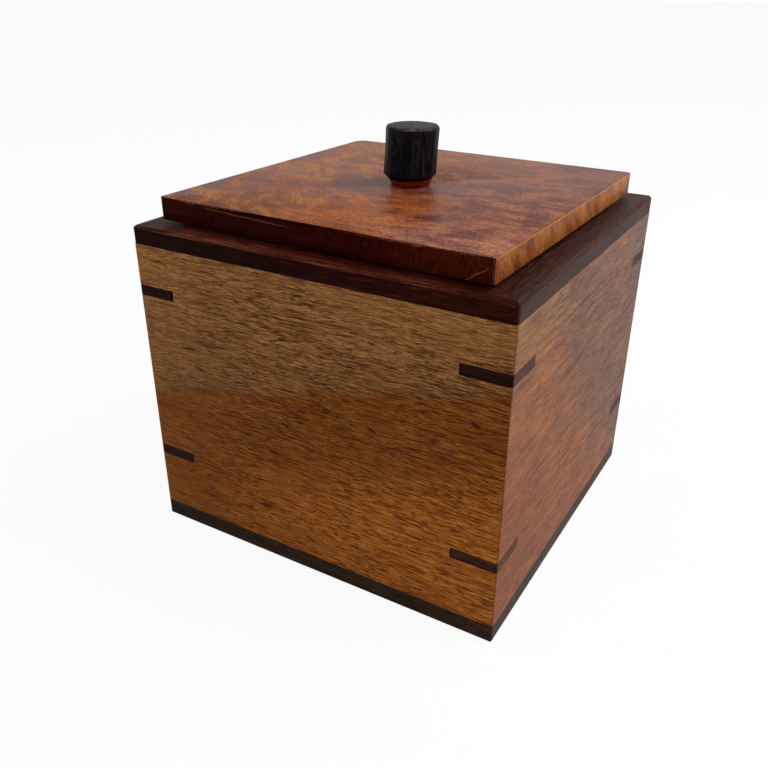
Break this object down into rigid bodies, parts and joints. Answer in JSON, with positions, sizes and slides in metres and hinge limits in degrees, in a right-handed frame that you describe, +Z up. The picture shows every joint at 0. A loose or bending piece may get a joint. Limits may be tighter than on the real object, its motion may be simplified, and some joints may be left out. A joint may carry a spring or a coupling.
{
  "type": "wooden puzzle box",
  "caption": "Square wooden puzzle box with a lift-off lid, a turning knob that works hidden bolts, and a loose spline key that dead-locks them.",
  "frame": {"origin": "middle of the box's underside, where it stands", "axes": "+X to the right of the front, +Y to the back, +Z up along the knob's axis"},
  "size_m": [0.115, 0.111, 0.1213],
  "materials": {
    "wall_wood": "oiled golden-brown hardwood with short dark pores",
    "side_wood": "oiled pinkish-brown hardwood, the same planks with a sheen",
    "dark_wood": "dark streaked hardwood, satin",
    "lid_wood": "figured red-orange hardwood, satin",
    "knob_wood": "black hardwood, polished",
    "collar_wood": "dark red hardwood, satin",
    "inner_wood": "plain pale hardwood",
    "brass": "drawn brass",
    "screw_steel": "plain steel"
  },
  "bodies": {
    "box": {"front_panel": "wall_wood", "back_panel": "wall_wood", "left_panel": "side_wood", "right_panel": "side_wood", "bottom_panel": "inner_wood", "base_front_strip": "dark_wood", "base_back_strip": "dark_wood", "base_left_strip": "dark_wood", "base_right_strip": "dark_wood", "rim_front_strip": "dark_wood", "rim_back_strip": "dark_wood", "rim_left_strip": "dark_wood", "rim_right_strip": "dark_wood", "key_front_right_upper": "dark_wood", "key_front_right_lower": "dark_wood", "key_back_right_upper": "dark_wood", "key_back_right_lower": "dark_wood", "key_back_left_upper": "dark_wood", "key_back_left_lower": "dark_wood", "key_front_left_lower": "dark_wood", "key_guide": "inner_wood"},
    "secret_key": {"secret_key": "dark_wood", "key_tongue": "brass"},
    "lid": {"lid_panel": "lid_wood", "lid_plug": "dark_wood", "bolt_bed": "inner_wood", "cover_plate": "inner_wood", "cover_screws": "screw_steel"},
    "knob": {"knob": "knob_wood", "knob_collar": "collar_wood", "spindle": "brass", "scroll_disc": "inner_wood", "disc_washer": "brass", "disc_screw": "screw_steel"},
    "bolt_right": {"bolt_right": "lid_wood", "bolt_pin_right": "brass"},
    "bolt_back": {"bolt_back": "lid_wood", "bolt_pin_back": "brass"},
    "bolt_left": {"bolt_left": "lid_wood", "bolt_pin_left": "brass"},
    "bolt_front": {"bolt_front": "lid_wood", "bolt_pin_front": "brass"}
  },
  "joints": [
    {"name": "lid_lift", "type": "slide", "parent": "box", "child": "lid", "axis": [0, 0, 1], "range_m": [0, 0.06]},
    {"name": "knob_turn", "type": "hinge", "parent": "lid", "child": "knob", "pos_m": [0, 0, 0.09], "axis": [0, 0, 1], "range_deg": [0, 60]},
    {"name": "key_slide", "type": "slide", "parent": "box", "child": "secret_key", "axis": [-0.7071, -0.7071, 0], "range_m": [-0.0005, 0.008]},
    {"name": "bolt_right_slide", "type": "slide", "parent": "lid", "child": "bolt_right", "axis": [1, 0, 0], "range_m": [0, 0.00501]},
    {"name": "bolt_back_slide", "type": "slide", "parent": "lid", "child": "bolt_back", "axis": [0, 1, 0], "range_m": [0, 0.00501]},
    {"name": "bolt_left_slide", "type": "slide", "parent": "lid", "child": "bolt_left", "axis": [-1, 0, 0], "range_m": [0, 0.00501]},
    {"name": "bolt_front_slide", "type": "slide", "parent": "lid", "child": "bolt_front", "axis": [0, -1, 0], "range_m": [0, 0.00501]}
  ],
  "couplings": [
    {"joint": "bolt_right_slide", "follows": "knob_turn", "m_per_rad": 0.0047746},
    {"joint": "bolt_back_slide", "follows": "knob_turn", "m_per_rad": 0.0047746},
    {"joint": "bolt_left_slide", "follows": "knob_turn", "m_per_rad": 0.0047746},
    {"joint": "bolt_front_slide", "follows": "knob_turn", "m_per_rad": 0.0047746}
  ]
}
